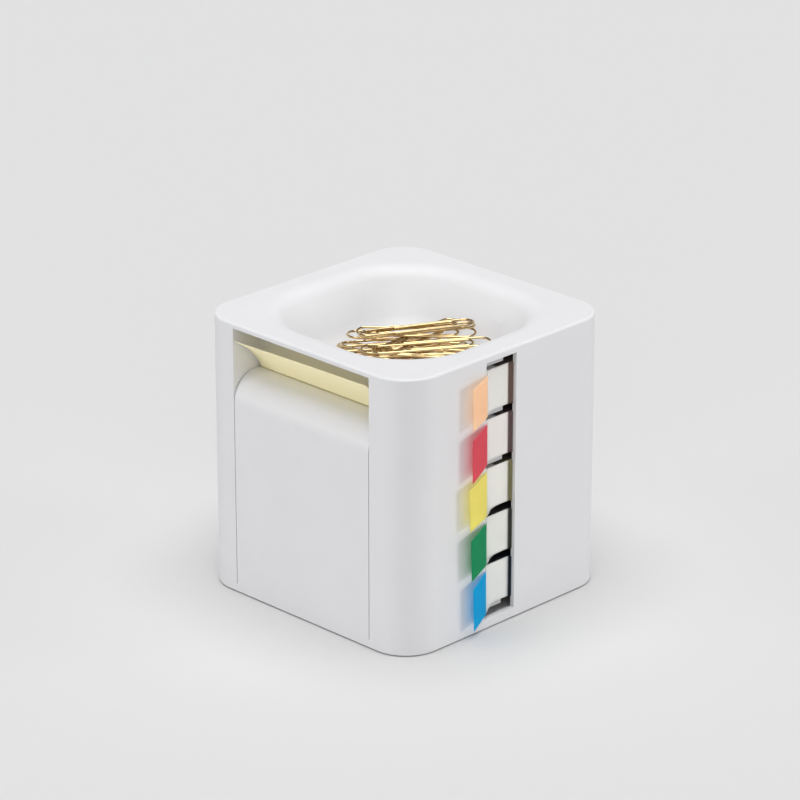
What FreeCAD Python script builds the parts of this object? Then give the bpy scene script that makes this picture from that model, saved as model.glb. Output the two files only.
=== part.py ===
import FreeCAD, Part
import math
import os
import Sketcher

# Desk organizer cube, in millimetres. It holds pop-up notes, five packs of film flags and paper clips.
# Frame: +Z up, front (note mouth) towards -Y, flag slot towards +X.
# The origin is on the surface that the rubber pad stands on, under the middle of the body.

V = FreeCAD.Vector
doc = FreeCAD.newDocument("Organizer")
sheet = doc.addObject("Spreadsheet::Sheet", "Sizes")

# Colours of the flags, from the lowest pack up
FLAGS = ["blue", "green", "yellow", "red", "orange"]

SIZES = {
    # How far a cutting shape stands past a surface, and how far a fused shape reaches into its neighbour
    "cut_past": 1,
    "fuse_into": 0.5,
    # Body
    "body_width": 120,
    "body_depth": 120,
    "body_height": 120,
    "corner_radius": 16.5,
    "wall": 2,
    "top_edge_radius": 1,
    "floor_gap": 0.6,
    # Dish in the top
    "dish_margin": 8.5,
    "dish_rim_half": "=min(body_width; body_depth) / 2 - dish_margin",
    "dish_side_run": 37,
    "dish_straight_half": "=dish_rim_half - dish_side_run",
    "dish_depth": 24,
    "dish_lip_radius": 10,
    "dish_floor_radius": 22,
    "dish_floor_flat": 2,
    "dish_floor_half": "=dish_straight_half + dish_floor_flat",
    # Mouth for the notes, and the tongue in front of them
    "note_side_room": 22,
    "note_size": "=body_width - 2 * note_side_room",
    "note_side_gap": 1.15,
    "mouth_bar": 2.2,
    "slit_bottom": 4,
    "slit_width": 0.45,
    "mouth_drop": 22.6,
    "tongue_top": "=body_height - mouth_drop",
    "tongue_thickness": 2,
    "curl_radius": 12,
    "lip_length": 2,
    "cheek_thickness": 2,
    "cheek_end": -29,
    "stop_width": 2.6,
    "stop_thickness": 1.4,
    "stop_below_lip": 1,
    "guide_above_lip": 1.2,
    "guide_gap": 1,
    "guide_thickness": 1.6,
    "pillar_width": 6,
    "pillar_length": 12,
    # Pad of notes, its carrier and its pusher
    "pad_thickness": 11,
    "pad_gap": 0.15,
    "pad_below_lip": 0.1,
    "carrier_back": -18,
    "carrier_thickness": 2,
    "carrier_below_lip": 13.4,
    "carrier_high": "=tongue_top - carrier_below_lip",
    "carrier_ear": 7,
    "shelf_gap": 0.3,
    "pusher_thickness": 2,
    "pusher_inset": 3,
    "pusher_above_shelf": 3.7,
    "pusher_below_lip": 6.4,
    "stem_offset": 20,
    "stem_above_shelf": 36.7,
    "stem_radius": 2.5,
    "stem_clearance": 0.08,
    "stem_past": 5,
    "spring_wire": 0.8,
    "spring_turns": 5,
    "spring_gap": 0.5,
    "spring_end_gap": 0.05,
    # Note that has popped out of the mouth
    "popped_thickness": 0.25,
    "popped_reach": 14.6,
    "popped_rise": 15,
    "popped_start": 0.3,
    # Slot for the flags, packs of flags and their rack
    "slot_left": -14.5,
    "slot_right": 3,
    "slot_bottom": 4.6,
    "slot_top_margin": 3,
    "slot_top": "=body_height - slot_top_margin",
    "flag_count": len(FLAGS),
    "first_flag_bottom": 9.3,
    "rack_top_margin": 3.95,
    "flag_pitch": "=(body_height - rack_top_margin - first_flag_bottom) / flag_count",
    "flag_spacing": 3.55,
    "flag_height": "=flag_pitch - flag_spacing",
    "flag_length": 44,
    "flag_pack_thickness": 5.8,
    "flag_face_gap": 0.6,
    "fin_thickness": 1.9,
    "fin_front_gap": 0.75,
    "fin_relief": 4,
    "fin_relief_from": -2,
    "deep_fin_first": 1,
    "deep_fin_last": 2,
    "rack_wall": 1.4,
    "rack_end_gap": 0.4,
    "leaf_space": 1.9,
    "leaf_width": 8,
    "leaf_thickness": 0.3,
    "leaf_length": 32,
    "leaf_gap": 0.1,
    "rack_ear": 7,
    "rack_ear_height": 10,
    "rack_screw_low": 22,
    "rack_screw_margin": 20,
    "rack_screw_high": "=body_height - rack_screw_margin",
    "boss_radius": 3,
    "boss_length": 4,
    # Flags that are pulled out
    "film_thickness": 0.25,
    "film_gap": 0.1,
    "film_right_inset": 1.2,
    "film_bend_from": 9,
    "film_bend_middle": 4,
    "film_wall_gap": 0.45,
    "flag_tip_out": 3.9,
    # How far each flag's tip stands beyond the slot, and how far it hangs down at the slot and at its tip
    "blue_reach": 10.9,
    "blue_slot_droop": 1.5,
    "blue_droop": 4.8,
    "green_reach": 12.3,
    "green_slot_droop": 1.4,
    "green_droop": 3.9,
    "yellow_reach": 13.2,
    "yellow_slot_droop": 0.9,
    "yellow_droop": 2.9,
    "red_reach": 11.9,
    "red_slot_droop": 0.4,
    "red_droop": 2.4,
    "orange_reach": 11.7,
    "orange_slot_droop": 0.6,
    "orange_droop": 2.6,
    # Base
    "base_thickness": 2.4,
    "base_gap": 0.25,
    "base_lift": 1.2,
    "tab_half_length": 18,
    "tab_height": 6,
    "tab_thickness": 1.6,
    "seat_width": 8,
    "seat_depth": 4,
    "seat_height": 10,
    "seat_offset": 34,
    "ballast_length": 84,
    "ballast_width": 62,
    "ballast_thickness": 3,
    "ballast_x": -8,
    "ballast_back_margin": 8,
    "ballast_y": "=body_depth / 2 - wall - ballast_back_margin - ballast_width / 2",
    "ballast_corner": 6,
    "post_radius": 2,
    "post_inset": 9,
    "post_above": 2.6,
    "post_clearance": 0.1,
    "washer_radius": 5,
    "washer_thickness": 0.5,
    "grip_half": 50,
    "grip_corner": 12,
    "grip_recess": 0.4,
    "grip_clearance": 0.1,
    # Screws
    "screw_radius": 1.1,
    "screw_hole_radius": 1.15,
    "screw_head_radius": 2.2,
    "screw_head_height": 1.5,
    "screw_length": 5,
    "screw_clearance_radius": 1.4,
    # Paper clips
    "clip_length": 50,
    "clip_width": 9.4,
    "clip_wire": 1,
    "clip_layers": 8,
    "clip_layer_gap": 0.12,
    "clip_pair_offset": 5.2,
    "clip_seat_gap": 0.3,
    "clip_pair_slide": 1.5,
    "clip_angle": 45,
    "clip_swing_angle": 34,
    "clip_phase_angle": 126,
}
for row, (name, value) in enumerate(SIZES.items(), start=1):
    sheet.set(f"A{row}", name)
    sheet.set(f"B{row}", str(value))
    sheet.setAlias(f"B{row}", name)
doc.recompute()

# Places worked out from the sizes, as expressions that the objects are bound to
FRONT = "-Sizes.body_depth / 2"
RIGHT = "Sizes.body_width / 2"
INNER_X = "(Sizes.body_width / 2 - Sizes.wall)"
INNER_Y = "(Sizes.body_depth / 2 - Sizes.wall)"
CEILING = "(Sizes.body_height - Sizes.mouth_bar)"
MOUTH_HALF = "(Sizes.note_size / 2 + Sizes.note_side_gap)"
LIP_BACK = "(Sizes.curl_radius + Sizes.lip_length - Sizes.body_depth / 2)"
PAD_FRONT = f"({LIP_BACK} + Sizes.pad_gap)"
PAD_BACK = f"({PAD_FRONT} + Sizes.pad_thickness)"
PAD_BOTTOM = "(Sizes.tongue_top - Sizes.pad_below_lip - Sizes.note_size)"
SHELF_LOW = f"({PAD_BOTTOM} - Sizes.carrier_thickness)"
STEM_HEIGHT = f"({PAD_BOTTOM} + Sizes.stem_above_shelf)"
BASE_TOP = "(Sizes.base_lift + Sizes.base_thickness)"
PUSHER_FRONT = f"({PAD_BACK} + Sizes.pad_gap)"
PUSHER_BACK = f"({PUSHER_FRONT} + Sizes.pusher_thickness)"
CARRIER_FRONT = "(Sizes.carrier_back - Sizes.carrier_thickness)"
PILLAR_MIDDLE = f"({MOUTH_HALF} + Sizes.cheek_thickness + Sizes.pillar_width / 2)"
SLOT_MIDDLE = "((Sizes.slot_left + Sizes.slot_right) / 2)"
PACK_FRONT = f"({INNER_X} - Sizes.flag_face_gap)"
PACK_BACK = f"({PACK_FRONT} - Sizes.flag_pack_thickness)"
RACK_FRONT = f"({INNER_X} - Sizes.fin_front_gap)"
RACK_INNER = f"({PACK_BACK} - Sizes.leaf_space)"
RACK_BACK = f"({RACK_INNER} - Sizes.rack_wall)"
CELL_LEFT = f"({SLOT_MIDDLE} - Sizes.flag_length / 2 - Sizes.rack_end_gap)"
CELL_RIGHT = f"({SLOT_MIDDLE} + Sizes.flag_length / 2 + Sizes.rack_end_gap)"
RACK_LEFT = f"({CELL_LEFT} - Sizes.rack_wall)"
RACK_RIGHT = f"({CELL_RIGHT} + Sizes.rack_wall)"
RACK_BOTTOM = "(Sizes.first_flag_bottom - Sizes.fin_thickness)"
RACK_TOP = "(Sizes.first_flag_bottom + Sizes.flag_pitch * Sizes.flag_count)"
EAR_FRONT = f"({INNER_X} - Sizes.boss_length)"
EAR_BACK = f"({EAR_FRONT} - Sizes.rack_wall)"
RACK_EAR_FRONT = f"({RACK_LEFT} - Sizes.rack_ear / 2)"
RACK_EAR_BACK = f"({RACK_RIGHT} + Sizes.rack_ear / 2)"
BALLAST_TOP = f"({BASE_TOP} + Sizes.ballast_thickness)"


def number(expression):
    """The value of an expression over the sheet, in millimetres."""
    return float(sheet.evalExpression(expression))


def bind(thing, **properties):
    """Binds properties of an object to expressions. An underscore pair in a key stands for a dot."""
    for key, expression in properties.items():
        thing.setExpression(key.replace("__", "."), expression)
    return thing


def place(thing, x="0", y="0", z="0"):
    return bind(thing, Placement__Base__x=x, Placement__Base__y=y, Placement__Base__z=z)


def block(name, x, y, z):
    """A box between pairs of expressions along each axis."""
    box = doc.addObject("Part::Box", name)
    bind(box, Length=f"{x[1]} - {x[0]}", Width=f"{y[1]} - {y[0]}", Height=f"{z[1]} - {z[0]}")
    return place(box, x[0], y[0], z[0])


TURNS = {
    "x": FreeCAD.Rotation(V(0, 1, 0), 90),
    "y": FreeCAD.Rotation(V(1, 0, 0), -90),
    "z": FreeCAD.Rotation(),
}


def rod(name, axis, radius, length, at):
    """A cylinder that starts at a point and runs along +X, +Y or +Z."""
    cylinder = doc.addObject("Part::Cylinder", name)
    cylinder.Placement = FreeCAD.Placement(V(), TURNS[axis])
    bind(cylinder, Radius=radius, Height=length)
    return place(cylinder, *at)


def fuse(name, things):
    fusion = doc.addObject("Part::MultiFuse", name)
    fusion.Shapes = things
    return fusion


def cut(name, base, tools):
    tool = tools[0] if len(tools) == 1 else fuse(name + "_tools", tools)
    result = doc.addObject("Part::Cut", name)
    result.Base = base
    result.Tool = tool
    return result


def group(name, things):
    compound = doc.addObject("Part::Compound", name)
    compound.Links = things
    return compound


def plane(body, role):
    for feature in body.Origin.OriginFeatures:
        if feature.Role == role:
            return feature
    raise ValueError(role)


def new_sketch(body, name, role="XY_Plane", offset="0"):
    sketch = body.newObject("Sketcher::SketchObject", name)
    sketch.AttachmentSupport = [(plane(body, role), "")]
    sketch.MapMode = "FlatFace"
    sketch.setExpression("AttachmentOffset.Base.z", offset)
    return sketch


def rounded_rectangle(sketch, half_x, half_y, radius):
    """A rectangle about the sketch's origin, with tangent arcs at its corners."""
    x, y, r = number(half_x), number(half_y), number(radius)
    centres = [(x - r, y - r), (r - x, y - r), (r - x, r - y), (x - r, r - y)]
    for quarter, (cx, cy) in enumerate(centres):
        circle = Part.Circle(V(cx, cy, 0), V(0, 0, 1), r)
        start = quarter * math.pi / 2
        sketch.addGeometry(Part.ArcOfCircle(circle, start, start + math.pi / 2))
    corners = [(x - r, y, r - x, y), (-x, y - r, -x, r - y), (r - x, -y, x - r, -y), (x, r - y, x, y - r)]
    for x0, y0, x1, y1 in corners:
        sketch.addGeometry(Part.LineSegment(V(x0, y0, 0), V(x1, y1, 0)))
    for arc in range(4):
        line = 4 + arc
        following = (arc + 1) % 4
        sketch.addConstraint(Sketcher.Constraint("Tangent", arc, 2, line, 1))
        sketch.addConstraint(Sketcher.Constraint("Tangent", line, 2, following, 1))
    for arc in range(1, 4):
        sketch.addConstraint(Sketcher.Constraint("Equal", 0, arc))
    sketch.addConstraint(Sketcher.Constraint("Horizontal", 4))
    sketch.addConstraint(Sketcher.Constraint("Vertical", 5))
    sketch.addConstraint(Sketcher.Constraint("Symmetric", 4, 1, 6, 1, -1, 1))
    drive(sketch, Sketcher.Constraint("Radius", 0, r), radius)
    drive(sketch, Sketcher.Constraint("DistanceY", -1, 1, 4, 1, y), half_y)
    drive(sketch, Sketcher.Constraint("DistanceX", -1, 1, 7, 1, x), half_x)


def drive(sketch, constraint, expression):
    """Adds a dimension to a sketch and binds it to an expression."""
    index = sketch.addConstraint(constraint)
    sketch.setExpression(f"Constraints[{index}]", expression)


def polygon(sketch, points):
    """A closed outline of straight lines through points given as pairs of expressions."""
    values = [(number(x), number(y)) for x, y in points]
    count = len(values)
    for index in range(count):
        start = values[index]
        end = values[(index + 1) % count]
        sketch.addGeometry(Part.LineSegment(V(*start, 0), V(*end, 0)))
    for index in range(count):
        sketch.addConstraint(Sketcher.Constraint("Coincident", index, 2, (index + 1) % count, 1))
    for index, (x, y) in enumerate(points):
        drive(sketch, Sketcher.Constraint("DistanceX", -1, 1, index, 1, values[index][0]), x)
        drive(sketch, Sketcher.Constraint("DistanceY", -1, 1, index, 1, values[index][1]), y)


def pad(body, name, sketch, length, middle=False):
    feature = body.newObject("PartDesign::Pad", name)
    feature.Profile = sketch
    feature.Midplane = middle
    return bind(feature, Length=length)


def new_body(name):
    return doc.addObject("PartDesign::Body", name)


def dish_slope():
    """Angle of the straight line that touches both the lip's arc and the floor's arc."""
    run = number("Sizes.dish_rim_half - Sizes.dish_floor_half")
    radii = number("Sizes.dish_lip_radius + Sizes.dish_floor_radius")
    fall = number("Sizes.dish_depth") - radii
    return math.atan2(fall, run) + math.asin(radii / math.hypot(run, fall))


def dish_profile(name, thickness):
    """Half section of the dish: rounded lip, straight slope and rounded floor. A thickness gives its underside."""
    sketch = doc.addObject("Sketcher::SketchObject", name)
    sketch.Placement.Rotation = FreeCAD.Rotation(V(1, 0, 0), 90)
    sketch.setExpression("Placement.Base.y", "-Sizes.dish_straight_half")
    rim_x = number("Sizes.dish_rim_half")
    axis_x = number("Sizes.dish_straight_half")
    rim_z = f"(Sizes.body_height - {thickness})"
    floor_z = f"(Sizes.body_height - Sizes.dish_depth - {thickness})"
    lip_radius = f"(Sizes.dish_lip_radius - {thickness})"
    floor_radius = f"(Sizes.dish_floor_radius + {thickness})"
    top, bottom = number(rim_z), number(floor_z)
    above = top + number("Sizes.cut_past")
    lip, blend = number(lip_radius), number(floor_radius)
    slope = dish_slope()
    lip_x = rim_x - lip * math.sin(slope)
    lip_z = top - lip * (1 - math.cos(slope))
    blend_z = bottom + blend * (1 - math.cos(slope))
    blend_x = lip_x - (lip_z - blend_z) / math.tan(slope)
    floor_x = number("Sizes.dish_floor_half")
    lip_circle = Part.Circle(V(rim_x, top - lip, 0), V(0, 0, 1), lip)
    floor_circle = Part.Circle(V(floor_x, bottom + blend, 0), V(0, 0, 1), blend)
    segment = Part.LineSegment
    sketch.addGeometry(segment(V(axis_x, above, 0), V(rim_x, above, 0)))
    sketch.addGeometry(segment(V(rim_x, above, 0), V(rim_x, top, 0)))
    sketch.addGeometry(Part.ArcOfCircle(lip_circle, math.pi / 2, math.pi / 2 + slope))
    sketch.addGeometry(segment(V(lip_x, lip_z, 0), V(blend_x, blend_z, 0)))
    sketch.addGeometry(Part.ArcOfCircle(floor_circle, 3 * math.pi / 2, 3 * math.pi / 2 + slope))
    sketch.addGeometry(segment(V(floor_x, bottom, 0), V(axis_x, bottom, 0)))
    sketch.addGeometry(segment(V(axis_x, bottom, 0), V(axis_x, above, 0)))
    add = sketch.addConstraint
    add(Sketcher.Constraint("Coincident", 0, 2, 1, 1))
    add(Sketcher.Constraint("Coincident", 1, 2, 2, 1))
    add(Sketcher.Constraint("Tangent", 2, 2, 3, 1))
    add(Sketcher.Constraint("Tangent", 3, 2, 4, 2))
    add(Sketcher.Constraint("Tangent", 4, 1, 5, 1))
    add(Sketcher.Constraint("Coincident", 5, 2, 6, 1))
    add(Sketcher.Constraint("Coincident", 6, 2, 0, 1))
    add(Sketcher.Constraint("Horizontal", 0))
    add(Sketcher.Constraint("Vertical", 1))
    add(Sketcher.Constraint("Vertical", 2, 3, 2, 1))
    add(Sketcher.Constraint("Horizontal", 5))
    add(Sketcher.Constraint("Vertical", 6))
    drive(sketch, Sketcher.Constraint("DistanceX", -1, 1, 0, 2, rim_x), "Sizes.dish_rim_half")
    drive(sketch, Sketcher.Constraint("DistanceX", -1, 1, 6, 1, axis_x), "Sizes.dish_straight_half")
    drive(sketch, Sketcher.Constraint("DistanceY", -1, 1, 0, 2, above), f"{rim_z} + Sizes.cut_past")
    drive(sketch, Sketcher.Constraint("DistanceY", -1, 1, 2, 1, top), rim_z)
    drive(sketch, Sketcher.Constraint("DistanceY", -1, 1, 5, 1, bottom), floor_z)
    drive(sketch, Sketcher.Constraint("Radius", 2, lip), lip_radius)
    drive(sketch, Sketcher.Constraint("Radius", 4, blend), floor_radius)
    drive(sketch, Sketcher.Constraint("DistanceX", -1, 1, 5, 1, floor_x), "Sizes.dish_floor_half")
    return sketch


def dish_solid(name, thickness):
    """The dish's space: the profile run along the straight sides and turned round the corners."""
    sketch = dish_profile(name + "_profile", thickness)
    straight = "Sizes.dish_straight_half"
    low = f"(Sizes.body_height - Sizes.dish_depth - {thickness})"
    high = f"(Sizes.body_height - {thickness} + Sizes.cut_past)"
    parts = [block(name + "_middle", (f"-{straight}", straight), (f"-{straight}", straight), (low, high))]
    for quarter in range(4):
        turn = FreeCAD.Placement(V(), FreeCAD.Rotation(V(0, 0, 1), 90 * quarter))
        side = doc.addObject("Part::Extrusion", f"{name}_side_{quarter}")
        side.Base = sketch
        side.DirMode = "Custom"
        side.Dir = V(0, 1, 0)
        side.Solid = True
        side.Placement = turn
        bind(side, LengthFwd=f"2 * {straight}")
        corner = doc.addObject("Part::Revolution", f"{name}_corner_{quarter}")
        corner.Source = sketch
        corner.Axis = V(0, 0, 1)
        corner.Angle = -90
        corner.Solid = True
        corner.Placement = turn
        bind(corner, Base__x=straight, Base__y=f"-{straight}")
        parts += [side, corner]
    return fuse(name, parts)


def moulded_body():
    """Walls, ceiling and dish of the shell, before its openings are cut."""
    body = new_body("shell_body")
    outline = new_sketch(body, "shell_outline", "XY_Plane", "Sizes.floor_gap")
    rounded_rectangle(outline, "Sizes.body_width / 2", "Sizes.body_depth / 2", "Sizes.corner_radius")
    pad(body, "shell_block", outline, "Sizes.body_height - Sizes.floor_gap")
    doc.recompute()
    top_edges = []
    for index, edge in enumerate(body.Shape.Edges, start=1):
        if abs(edge.BoundBox.ZMin - number("Sizes.body_height")) < 1e-6:
            top_edges.append(f"Edge{index}")
    rounding = body.newObject("PartDesign::Fillet", "shell_top_edge")
    rounding.Base = (doc.getObject("shell_block"), top_edges)
    bind(rounding, Radius="Sizes.top_edge_radius")
    inside = new_sketch(body, "shell_inside", "XY_Plane", "Sizes.floor_gap")
    rounded_rectangle(inside, INNER_X, INNER_Y, "Sizes.corner_radius - Sizes.wall")
    hollow = body.newObject("PartDesign::Pocket", "shell_hollow")
    hollow.Profile = inside
    hollow.Reversed = True
    bind(hollow, Length=f"{CEILING} - Sizes.floor_gap")
    return body


def tongue():
    """The front tongue: flat, then curled inwards at its top."""
    body = new_body("tongue")
    sketch = new_sketch(body, "tongue_profile", "YZ_Plane")
    front = number(FRONT)
    top = number("Sizes.tongue_top")
    thick = number("Sizes.tongue_thickness")
    curl = number("Sizes.curl_radius")
    lip = number(LIP_BACK)
    foot = number("Sizes.floor_gap")
    middle = V(front + curl, top - curl, 0)
    outer = Part.Circle(middle, V(0, 0, 1), curl)
    inner = Part.Circle(middle, V(0, 0, 1), curl - thick)
    segment = Part.LineSegment
    sketch.addGeometry(segment(V(front, foot, 0), V(front, top - curl, 0)))
    sketch.addGeometry(Part.ArcOfCircle(outer, math.pi / 2, math.pi))
    sketch.addGeometry(segment(V(front + curl, top, 0), V(lip, top, 0)))
    sketch.addGeometry(segment(V(lip, top, 0), V(lip, top - thick, 0)))
    sketch.addGeometry(segment(V(lip, top - thick, 0), V(front + curl, top - thick, 0)))
    sketch.addGeometry(Part.ArcOfCircle(inner, math.pi / 2, math.pi))
    sketch.addGeometry(segment(V(front + thick, top - curl, 0), V(front + thick, foot, 0)))
    sketch.addGeometry(segment(V(front + thick, foot, 0), V(front, foot, 0)))
    add = sketch.addConstraint
    add(Sketcher.Constraint("Tangent", 0, 2, 1, 2))
    add(Sketcher.Constraint("Tangent", 1, 1, 2, 1))
    add(Sketcher.Constraint("Coincident", 2, 2, 3, 1))
    add(Sketcher.Constraint("Coincident", 3, 2, 4, 1))
    add(Sketcher.Constraint("Tangent", 4, 2, 5, 1))
    add(Sketcher.Constraint("Tangent", 5, 2, 6, 1))
    add(Sketcher.Constraint("Coincident", 6, 2, 7, 1))
    add(Sketcher.Constraint("Coincident", 7, 2, 0, 1))
    add(Sketcher.Constraint("Coincident", 1, 3, 5, 3))
    add(Sketcher.Constraint("Vertical", 0))
    add(Sketcher.Constraint("Vertical", 3))
    add(Sketcher.Constraint("Horizontal", 7))
    drive(sketch, Sketcher.Constraint("DistanceX", -1, 1, 0, 1, front), FRONT)
    drive(sketch, Sketcher.Constraint("DistanceY", -1, 1, 0, 1, foot), "Sizes.floor_gap")
    drive(sketch, Sketcher.Constraint("DistanceY", -1, 1, 2, 2, top), "Sizes.tongue_top")
    drive(sketch, Sketcher.Constraint("DistanceX", -1, 1, 2, 2, lip), LIP_BACK)
    drive(sketch, Sketcher.Constraint("Radius", 1, curl), "Sizes.curl_radius")
    drive(sketch, Sketcher.Constraint("Radius", 5, curl - thick), "Sizes.curl_radius - Sizes.tongue_thickness")
    pad(body, "tongue_block", sketch, f"2 * ({MOUTH_HALF} - Sizes.slit_width)", middle=True)
    return body


def mirrored(expressions):
    """Turns a range of X on the right into the same range on the left."""
    low, high = expressions
    return (f"-({high})", f"-({low})")


def cheeks():
    """Side walls of the note bay, with the stops in front of the pad and the screw pillars behind."""
    parts = []
    wall_x = (MOUTH_HALF, f"({MOUTH_HALF} + Sizes.cheek_thickness)")
    stop_x = (f"({MOUTH_HALF} - Sizes.stop_width)", f"({MOUTH_HALF} + 0.5 * Sizes.cheek_thickness)")
    stop_y = (f"({LIP_BACK} - Sizes.stop_thickness)", LIP_BACK)
    stop_z = (PAD_BOTTOM, "(Sizes.tongue_top - Sizes.tongue_thickness - Sizes.stop_below_lip)")
    pillar_x = (MOUTH_HALF, f"({MOUTH_HALF} + Sizes.cheek_thickness + Sizes.pillar_width)")
    pillar_y = (f"({CARRIER_FRONT} - Sizes.pillar_length)", CARRIER_FRONT)
    pillar_z = (SHELF_LOW, "Sizes.carrier_high")
    wall_y = (f"(-{INNER_Y} - 0.5 * Sizes.wall)", "Sizes.cheek_end")
    wall_z = (BASE_TOP, CEILING)
    for side in ("left", "right"):
        turn = mirrored if side == "left" else tuple
        parts.append(block(f"cheek_{side}", turn(wall_x), wall_y, wall_z))
        parts.append(block(f"stop_{side}", turn(stop_x), stop_y, stop_z))
        parts.append(block(f"pillar_{side}", turn(pillar_x), pillar_y, pillar_z))
    return parts


def note_guide():
    """Wall across the bay that keeps the popped note in front of the dish's underside."""
    y = (f"({PAD_FRONT} + Sizes.guide_gap)", f"({PAD_FRONT} + Sizes.guide_gap + Sizes.guide_thickness)")
    half = f"({MOUTH_HALF} + Sizes.fuse_into)"
    return block("note_guide", (f"-{half}", half), y, ("(Sizes.tongue_top + Sizes.guide_above_lip)", CEILING))


def rack_bosses():
    parts = []
    for end, y in (("front", RACK_EAR_FRONT), ("back", RACK_EAR_BACK)):
        for level in ("low", "high"):
            at = (EAR_FRONT, y, f"Sizes.rack_screw_{level}")
            parts.append(rod(f"boss_{end}_{level}", "x", "Sizes.boss_radius", "Sizes.boss_length + Sizes.wall / 2", at))
    return parts


def seats():
    """Ribs at the back wall that stand on the base plate."""
    parts = []
    y = (f"({INNER_Y} - Sizes.seat_depth)", f"({INNER_Y} + 0.5 * Sizes.wall)")
    z = (BASE_TOP, f"({BASE_TOP} + Sizes.seat_height)")
    x = ("(Sizes.seat_offset - Sizes.seat_width / 2)", "(Sizes.seat_offset + Sizes.seat_width / 2)")
    parts.append(block("seat_right", x, y, z))
    parts.append(block("seat_left", mirrored(x), y, z))
    return parts


def screw_places():
    """Where the four carrier screws and the four rack screws go in: name, axis, head face and direction."""
    carrier = []
    for side, sign in (("left", "-"), ("right", "")):
        for level in ("low", "high"):
            z = f"({SHELF_LOW} + Sizes.carrier_ear)" if level == "low" else "(Sizes.carrier_high - Sizes.carrier_ear)"
            carrier.append((f"{side}_{level}", f"{sign}{PILLAR_MIDDLE}", z))
    rack = []
    for end, y in (("front", RACK_EAR_FRONT), ("back", RACK_EAR_BACK)):
        for level in ("low", "high"):
            rack.append((f"{end}_{level}", y, f"Sizes.rack_screw_{level}"))
    return carrier, rack


def outer_shell():
    under = dish_solid("dish_under", "Sizes.mouth_bar")
    hollow = dish_solid("dish_hollow", "0")
    carrier, rack = screw_places()
    whole = cut("shell_open", moulded_body(), [
        block("mouth", (f"-{MOUTH_HALF}", MOUTH_HALF), (f"({FRONT} - Sizes.cut_past)", f"(-{INNER_Y} + Sizes.cut_past)"),
              ("Sizes.slit_bottom", CEILING)),
        block("slot", (f"({INNER_X} - Sizes.cut_past)", f"({RIGHT} + Sizes.cut_past)"),
              ("Sizes.slot_left", "Sizes.slot_right"), ("Sizes.slot_bottom", "Sizes.slot_top")),
    ])
    solid = fuse("shell_solid", [whole, under, tongue(), note_guide(), *cheeks(), *rack_bosses(), *seats()])
    holes = [hollow]
    depth = "Sizes.screw_length"
    for name, x, z in carrier:
        at = (x, f"({CARRIER_FRONT} - {depth})", z)
        holes.append(rod(f"pillar_hole_{name}", "y", "Sizes.screw_hole_radius", f"{depth} + Sizes.cut_past", at))
    for name, y, z in rack:
        at = (f"({EAR_FRONT} - Sizes.cut_past)", y, z)
        length = "Sizes.boss_length + Sizes.cut_past"
        holes.append(rod(f"boss_hole_{name}", "x", "Sizes.screw_hole_radius", length, at))
    return cut("outer_shell", solid, holes)


def note_pad():
    body = new_body("note_pad")
    sketch = new_sketch(body, "note_pad_outline", "XY_Plane", PAD_BOTTOM)
    half = "Sizes.note_size / 2"
    polygon(sketch, [(f"-{half}", PAD_FRONT), (half, PAD_FRONT), (half, PAD_BACK), (f"-{half}", PAD_BACK)])
    pad(body, "note_pad_block", sketch, "Sizes.note_size")
    return body


def note_carrier():
    """Shelf under the pad and back wall behind it, screwed to the pillars."""
    half = f"({PILLAR_MIDDLE} + Sizes.pillar_width / 2)"
    inner = f"({MOUTH_HALF} - Sizes.shelf_gap)"
    wall = block("carrier_wall", (f"-{half}", half), (CARRIER_FRONT, "Sizes.carrier_back"),
                 (SHELF_LOW, "Sizes.carrier_high"))
    shelf = block("carrier_shelf", (f"-{inner}", inner), (f"({PAD_FRONT} + Sizes.pad_gap)", CARRIER_FRONT),
                  (SHELF_LOW, PAD_BOTTOM))
    carrier, rack = screw_places()
    holes = []
    through = "Sizes.carrier_thickness + 2 * Sizes.cut_past"
    for name, x, z in carrier:
        at = (x, f"({CARRIER_FRONT} - Sizes.cut_past)", z)
        holes.append(rod(f"carrier_hole_{name}", "y", "Sizes.screw_clearance_radius", through, at))
    for side, sign in (("left", "-"), ("right", "")):
        at = (f"{sign}Sizes.stem_offset", f"({CARRIER_FRONT} - Sizes.cut_past)", STEM_HEIGHT)
        radius = "Sizes.stem_radius + Sizes.stem_clearance"
        holes.append(rod(f"stem_hole_{side}", "y", radius, through, at))
    return cut("note_carrier", fuse("carrier_solid", [wall, shelf]), holes)


def note_pusher():
    """Plate behind the pad with two stems that slide in the carrier."""
    half = "(Sizes.note_size / 2 - Sizes.pusher_inset)"
    plate = block("pusher_plate", (f"-{half}", half), (PUSHER_FRONT, PUSHER_BACK),
                  (f"({PAD_BOTTOM} + Sizes.pusher_above_shelf)", "(Sizes.tongue_top - Sizes.pusher_below_lip)"))
    parts = [plate]
    for side, sign in (("left", "-"), ("right", "")):
        at = (f"{sign}Sizes.stem_offset", f"({PUSHER_BACK} - Sizes.pusher_thickness / 2)", STEM_HEIGHT)
        length = f"Sizes.carrier_back + Sizes.stem_past - {PUSHER_BACK} + Sizes.pusher_thickness / 2"
        parts.append(rod(f"stem_{side}", "y", "Sizes.stem_radius", length, at))
    return fuse("note_pusher", parts)


def feature(name, shape):
    """A piece whose shape is worked out by code from the sheet."""
    thing = doc.addObject("Part::Feature", name)
    thing.Shape = shape
    return thing


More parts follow.
